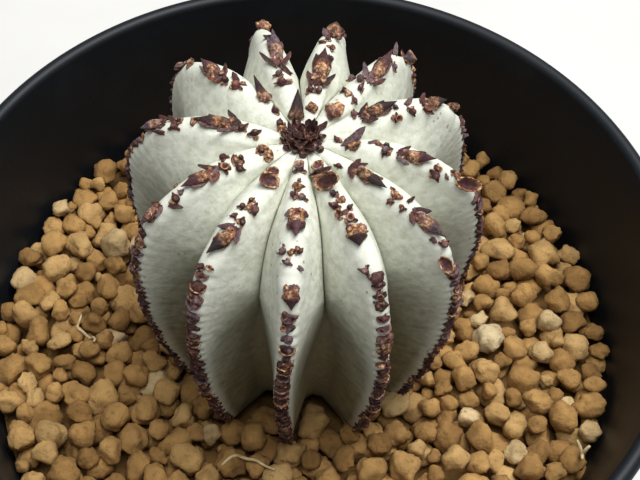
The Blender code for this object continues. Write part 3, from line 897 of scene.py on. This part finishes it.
# a pointed scale that lies along X: cup below 0 roofs over what is under it, above 0 it opens like a boat
def scaleForm(length, half, draw, cup=-0.4, edgeHeart=0.3):
    rows, columns = 12, 7
    points, heart = [], []
    phase = draw.uniform(0, 6)
    for layer in (1, -1):
        for i in range(rows):
            t = i / (rows - 1)
            edge = half * 1.25 * (0.5 + 1.3 * t) * (1 - t) ** 0.75 + 0.03
            for k in range(columns):
                v = 2 * k / (columns - 1) - 1
                ragged = 1 + 0.1 * math.sin(11 * t + phase + 2 * v)
                crease = 0.06 * math.sin(8 * v + 5 * t + phase)
                thick = layer * 0.11 * (1 - 0.5 * t)
                height = cup * edge * abs(v) ** 1.6 + 0.12 * length * t ** 2 + crease + thick
                points.append((length * (t - 0.12 * abs(v) * (1 - t)), edge * v * ragged, height + 0.15))
                heart.append(edgeHeart * abs(v) ** 5 if layer > 0 else 0.1)
    size = rows * columns
    faces = []
    for i in range(rows - 1):
        for k in range(columns - 1):
            a = i * columns + k
            faces.append((a, a + columns, a + columns + 1, a + 1))
            faces.append((size + a, size + a + 1, size + a + columns + 1, size + a + columns))
    rim = [i * columns for i in range(rows)]
    rim += [(rows - 1) * columns + k for k in range(1, columns)]
    rim += [i * columns + columns - 1 for i in range(rows - 2, -1, -1)]
    rim += list(range(columns - 2, 0, -1))
    for a, b in zip(rim, rim[1:] + rim[:1]):
        faces.append((b, a, size + a, size + b))
    return formOf(points, faces, heart, draw.random())


# a dry bowl that lies open along X: dark inside, with a thin pale rim
def bowlForm(length, half, draw):
    form = turnedForm(((0.35, -0.2, 0), (0.75, 0, 0), (0.97, 0.4, 0.1), (1.0, 0.6, 0.9), (0.9, 0.56, 1.0),
                       (0.72, 0.26, 0.1), (0.3, 0.1, 0), (0.05, 0.06, 0)), half, draw, 0.1)
    stretched = form["points"] * (length / (2 * half), 1, 1) + (length / 2, 0, 0)
    return {**form, "points": stretched, "tone": draw.uniform(0.2, 0.6)}


# a scale that wraps half round the crest, open towards the crown, with a thin tan edge
def collarForm(draw):
    s = stalkSize
    radius, tall, steps = draw.uniform(*s["collarRadius"]), draw.uniform(*s["collarTall"]), 12
    edge = draw.choice(s["edges"])
    points, heart = [], []
    for i in range(steps):
        angle = math.radians(-100 + 200 * i / (steps - 1))
        top = tall * (0.45 + 0.55 * max(0, math.cos(angle))) * draw.uniform(0.6, 1.2)
        for reach, height, warm in ((radius, -0.6, 0), (radius * 1.12, 0.4 * top, 0), (radius * 1.2, top, 0),
                                    (radius * 1.05, top * 1.02, edge), (radius * 0.8, 0.35 * top, 0),
                                    (radius * 0.7, -0.6, 0)):
            points.append((reach * math.cos(angle) * 0.75, reach * math.sin(angle), height))
            heart.append(warm)
    return formOf(points, closedFaces(steps, 6), heart, 0.85 * draw.random())


# puts a form on its place, with its Z along one way and its X as near to the other as that lets it be
def setAt(form, at, forward, up, lift=0.0):
    up = np.array(up) / np.linalg.norm(up)
    side = np.cross(up, np.array(forward))
    side /= np.linalg.norm(side)
    points = form["points"] @ np.array((np.cross(side, up), side, up))
    return {**form, "points": points + np.array(at) + up * lift}


# a place on a crest by its run in mm, with the ways out of it, down along it and across it
def crestSpot(rib, run):
    angle = ribAngle(rib)
    points = []
    for at in (run - 0.5, run, run + 0.5):
        share = float(np.interp(at, crestRun, crestShares))
        sway, stand, _ = crestShape(rib, share)
        points.append(stemPoint(angle, onOutline(share)[0] + stand, onOutline(share)[1], sway))
    along = (points[2] - points[0]) / np.linalg.norm(points[2] - points[0])
    across = np.array((-math.sin(angle), math.cos(angle), 0))
    out = np.cross(along, across)
    if out @ (points[1] - stemAxis) < 0:
        out = -out
    return points[1], out / np.linalg.norm(out), along, across


# the place on the stem that a pixel looks at, and the way out of the skin there; a pixel that looks past
# the crest gives the crest's own nearest place
def seatOf(rib, place, stem):
    near = Vector(crestSpot(rib, runUnder(rib, *place))[0])
    hit, normal = stem.ray_cast(eye, lookThrough(*place))[:2]
    if hit is None or (hit - near).length > markSize["reach"]:
        hit, normal = stem.find_nearest(near)[:2]
    return hit, normal


# a main stalk lies on the crest: a dark beak that comes out of crumpled fibres, with small scales round it
def roofForms(at, tip, up, wide, draw):
    s = stalkSize
    forward = tip - at
    length = min(max(forward.length, s["shortest"]), s["longest"])
    forward.normalize()
    side = up.cross(forward)
    beak = beakForm(s["beakLong"] * length, s["beakHalf"] * wide, draw)
    forms = [setAt(beak, at + forward * (s["beakFrom"] * length), forward, up, s["beakLift"])]
    for down, across, share in s["crumples"]:
        place = at + forward * (down * length) + side * (across * wide * draw.uniform(0.7, 1.3))
        turned = forward + side * draw.uniform(-1, 1)
        forms.append(setAt(knotForm(share * wide, draw), place, turned, up, 0.1 * wide))
    for down, across, turn in s["scales"]:
        scale = scaleForm(draw.uniform(0.26, 0.42) * length, draw.uniform(0.14, 0.22) * wide, draw)
        place = at + forward * (down * length) + side * (across * wide)
        forms.append(setAt(scale, place, forward + side * turn * draw.uniform(0.7, 1.3), up, 0.06 * wide))
    return forms


def markForms(rib, mark, stem, draw):
    s = stalkSize
    kind, (start, end) = mark[0], endsOf(mark)
    at, normal = seatOf(rib, start, stem)
    toEye = (eye - at).normalized()
    wide = mark[-1] * (eye - at).length / cameraSize["focalPixels"]
    if kind == "roof":
        out = Vector(crestSpot(rib, runUnder(rib, *start))[1])
        return roofForms(at, seatOf(rib, end, stem)[0], (out + 0.4 * normal).normalized(), wide, draw)
    standing = {"bud": budForm, "cup": cupForm, "knot": knotForm}
    if kind in standing:
        tilt = Vector([draw.uniform(-0.25, 0.25) for _ in range(3)])
        forward = Vector([draw.uniform(-1, 1) for _ in range(3)])
        lift = 0 if kind == "knot" else 0.1 * wide
        forms = [setAt(standing[kind](wide, draw), at, forward, normal + tilt, lift)]
        if kind != "knot":
            # papery scales and a crumb of fibre at its foot
            beside = normal.cross(forward).normalized()
            crumb = knotForm(draw.uniform(0.5, 0.8) * wide, draw)
            forms.append(setAt(crumb, at + beside * (0.5 * wide), forward, normal))
            for turn in (-1, 1):
                length, half = draw.uniform(0.7, 1.1) * wide, draw.uniform(0.2, 0.32) * wide
                scale = scaleForm(length, half, draw, -0.4, 0.9)
                way = beside * draw.uniform(-1, 1) + normal.cross(beside) * turn
                forms.append(setAt(scale, at, way, normal))
        return forms
    face = (normal + s["lean"] * toEye).normalized()
    plane = face if face.dot(toEye) > s["grazing"] else toEye
    way = lookThrough(*end)
    tip = eye + way * ((at - eye).dot(plane) / way.dot(plane))
    laid = {"spine": spineForm, "leaf": scaleForm, "boat": bowlForm}
    form = laid[kind](min((tip - at).length, s["longest"]), wide / 2, draw)
    return [setAt(form, at, tip - at, plane)]


# the chain on the lower crest: a dark crust in each notch, mostly with a collar, and a bud or broken stalk
def chainForms(rib, run, draw):
    s = stalkSize
    at, out, along, across = crestSpot(rib, run)
    crust = knotForm(draw.uniform(*s["crust"]), draw)
    crust = {**crust, "heart": crust["heart"] * draw.choice(s["warmths"]), "tone": 0.8 * crust["tone"]}
    forms = [setAt(crust, at, across + draw.uniform(-0.4, 0.4) * along, out, -0.15)]
    if draw.random() < s["collars"]:
        tilt = out - 0.35 * along + draw.uniform(-0.3, 0.3) * across
        forms.append(setAt(collarForm(draw), at, along, tilt, 0.05))
    if draw.random() < 0.5:
        make = cupForm if draw.random() < 0.4 else budForm
        tilt = out + draw.uniform(-0.4, 0.4) * along + draw.uniform(-0.4, 0.4) * across
        wide = s["small"] * draw.uniform(0.8, 1.2)
        forms.append(setAt(make(wide, draw), at + across * draw.uniform(-0.6, 0.6), along, tilt, 0.15))
    if draw.random() < 0.3:
        forward = along + draw.uniform(-0.6, 0.6) * across
        scale = scaleForm(draw.uniform(1.2, 2.0), 0.5, draw)
        forms.append(setAt(scale, at, forward + out * draw.uniform(0.3, 0.9), out, 0.2))
    return forms


def makeStalks(stem):
    material = stalkMaterial()
    for rib in range(stemSize["ribs"]):
        draw = random.Random(stalkSize["seed"] + rib)
        forms = []
        for mark in stalkMarks[rib]:
            forms += markForms(rib, mark, stem, draw)
        for run in ribSeats[rib]:
            forms += chainForms(rib, run, draw)
        stands = [f"dried_stalk_{rib + 1:02d}_{level}" for level in ("upper", "middle", "lower")]
        addForms(f"stalksRib{rib + 1:02d}", forms, material, stands)
    print("stalks made")
    return material


# the tall cone stands at the crown's middle; its place is given in mm from the stem's axis
crownSize = {
    "scales": 40, "spread": 0.37, "base": 20.7, "length": (0.8, 1.8), "half": (0.3, 0.55), "seed": 77,
    "conePlace": (0.5, 1.3), "coneTall": 3.4, "coneHalf": 0.85, "coneLean": 0.25, "sunk": 0.3,
    "bed": (2.1, 2.4, 0.9), "cups": (-0.8, 0.6), "edgeHeart": 0.25, "dark": 0.4, "turn": 0.7,
    "leans": (0.3, 1.25), "rise": 0.5, "fall": 0.1, "budWide": 0.9,
}


# the dried tangle in the middle of the crown
def makeCrown(material):
    s = crownSize
    draw = random.Random(s["seed"])
    up = np.array((0, 0, 1.0))
    bed = knotForm(2, draw)
    bedPoints = bed["points"] * s["bed"] + stemAxis + up * s["base"]
    forms = [{**bed, "points": bedPoints, "heart": bed["heart"] * 0.15, "tone": 0.1}]
    for i in range(s["scales"]):
        angle, away = 2.4 * i, s["spread"] * math.sqrt(i)
        out = np.array((math.cos(angle), math.sin(angle), 0))
        at = stemAxis + out * away + up * (s["base"] + s["rise"] - s["fall"] * away)
        cup = draw.choice(s["cups"])
        form = scaleForm(draw.uniform(*s["length"]), draw.uniform(*s["half"]), draw, cup, s["edgeHeart"])
        form["tone"] *= s["dark"]
        side = np.cross(up, out)
        lean = draw.uniform(*s["leans"])
        forward = (out + draw.uniform(-s["turn"], s["turn"]) * side) * math.cos(lean) + up * math.sin(lean)
        forms.append(setAt(form, at, forward, up * math.cos(lean) - out * math.sin(lean)))
        if i % 3 == 0:
            forms.append(setAt(budForm(s["budWide"], draw), at + out * 0.5, side, up))
    cone = spineForm(s["coneTall"], s["coneHalf"], draw)
    foot = stemAxis + (*s["conePlace"], s["base"] - s["sunk"])
    forms.append(setAt(cone, foot, (s["coneLean"], 0, 1), (0, -1, 0)))
    addForms("crownDried", forms, material, ["crown_tuft"])
    print("crown made")


# Loose rootlets and the sprig

looseSize = {
    "radius": 0.24, "clear": 0.05, "points": 26, "sides": 8,
    "rootlet_left": ((-33.3, -0.1), (-33.7, -2.6), (-31.8, -3.1), (-30.6, -4.2), (-30.6, -5.1)),
    "rootlet_front": ((-10.8, -24.2), (-8.4, -22.2), (-5.6, -22.6), (-2.6, -24.4)),
    "sprigPlace": (40.2, -20.0), "sprigTall": 3.0, "sprigBlades": ((0.4, 0.25), (2.3, 0.5), (4.4, 0.6)),
    "sprigRadius": 0.3, "sprigSunk": 0.3, "sprigRows": 8, "smoothings": 3, "liftings": 6, "sag": 0.02,
}


# a dried root: straw-coloured bark, darker in bands
def rootMaterial():
    made, tree, shader, place = newMaterial("rootletDried")
    bands = addNode(tree, "TexNoise", None, {
        "Vector": place, "Scale": featureOf(1.2), "Detail": 4.0}).outputs["Fac"]
    colour = addNode(tree, "ValToRGB", None, {"Fac": bands}, (
        (0.3, "#A88C5C"), (0.6, "#D2BE94"), (0.8, "#E2D4B4")))
    bump = addNode(tree, "Bump", None, {"Height": bands, "Strength": 0.5, "Distance": 0.1 * mm})
    setInputs(tree, shader, {
        "Base Color": colour.outputs[0], "Roughness": 0.8, "Normal": bump.outputs[0]})
    return made


# a tapering strand along a route, closed at both ends
def strandForm(route, radius):
    sides = looseSize["sides"]
    points = []
    for i, point in enumerate(route):
        way = route[min(i + 1, len(route) - 1)] - route[max(i - 1, 0)]
        way = way / np.linalg.norm(way)
        side = np.cross(way, (0.1, 0.2, 1.0))
        side /= np.linalg.norm(side)
        up = np.cross(side, way)
        reach = radius * (0.5 + 0.5 * math.sin(math.pi * (i + 0.6) / len(route)))
        for k in range(sides):
            angle = 2 * math.pi * k / sides
            points.append(point + reach * (side * math.cos(angle) + up * math.sin(angle)))
    return formOf(points, closedFaces(len(route), sides), np.zeros(len(points)), 0.5)


def makeLoose(granules):
    s = looseSize
    material = rootMaterial()
    for node, name in (("rootlet_left", "rootletLeft"), ("rootlet_front", "rootletFront")):
        corners = np.array(s[node])
        steps = np.linspace(0, len(corners) - 1, s["points"])
        flat = np.stack([np.interp(steps, range(len(corners)), corners[:, k]) for k in (0, 1)], 1)
        for _ in range(s["smoothings"]):
            flat[1:-1] = (flat[:-2] + 2 * flat[1:-1] + flat[2:]) / 4
        heights = np.array([soilTop(granules, x, y) for x, y in flat]) + s["radius"] + s["clear"]
        for _ in range(s["liftings"]):
            heights[1:-1] = np.maximum(heights[1:-1], (heights[:-2] + heights[2:]) / 2 - s["sag"])
        strand = strandForm(np.column_stack([flat, heights]), s["radius"])
        addForms(name, [strand], material, [node])
    x, y = s["sprigPlace"]
    foot = soilTop(granules, x, y) - s["sprigSunk"]
    blades = []
    for turn, lean in s["sprigBlades"]:
        rise = np.linspace(0, s["sprigTall"], s["sprigRows"])
        bend = lean * rise ** 2 / s["sprigTall"]
        route = np.column_stack([x + bend * math.cos(turn), y + bend * math.sin(turn), foot + rise])
        blades.append(strandForm(route, s["sprigRadius"]))
    addForms("sprigPale", blades, material, ["sprig"])
    print("rootlets and sprig made")


# Studio

studioSize = {
    "floor": 3, "aim": (0, 0, 0.09), "world": 0.38,
    # name, place in m, width in m, power in W
    "lights": (("keyLight", (0.24, 0.2, 0.77), 0.46, 5.2), ("fillLight", (0.04, -0.1, 0.88), 0.5, 4.0)),
}


# paper, uncoated: pale and matt, with a faint cloudiness
def makeFloor():
    shape = bmesh.new()
    bmesh.ops.create_grid(shape, x_segments=2, y_segments=2, size=studioSize["floor"])
    mesh = meshFrom("floor", shape)
    made, tree, shader, place = newMaterial("paperUncoated")
    cloud = addNode(tree, "TexNoise", None, {"Vector": place, "Scale": featureOf(40), "Detail": 3.0})
    colour = addNode(tree, "ValToRGB", None, {"Fac": cloud.outputs["Fac"]}, (
        (0.3, "#D6D5D1"), (0.7, "#DCDBD7")))
    setInputs(tree, shader, {"Base Color": colour.outputs[0], "Roughness": 0.9})
    mesh.materials.append(made)
    newObject("floor", mesh)


def makeStudio():
    s = studioSize
    makeFloor()
    world = bpy.data.worlds.new("studio")
    world.use_nodes = True
    sky = world.node_tree.nodes["Background"]
    sky.inputs["Color"].default_value = toLinear("#E6E8EA")
    sky.inputs["Strength"].default_value = s["world"]
    bpy.context.scene.world = world
    for name, at, size, power in s["lights"]:
        data = bpy.data.lights.new(name, "AREA")
        data.shape = "DISK"
        data.size = size
        data.energy = power
        lamp = newObject(name, data)
        lamp.location = at
        lamp.rotation_euler = (Vector(s["aim"]) - Vector(at)).to_track_quat("-Z", "Y").to_euler()
    bpy.context.scene.view_settings.view_transform = "Standard"
    print("studio made")


makeCamera()
makeStudio()
makePot()
stemSurface = makeStem()
soilGranules = makeSoil()
makeCrown(makeStalks(stemSurface))
makeLoose(soilGranules)
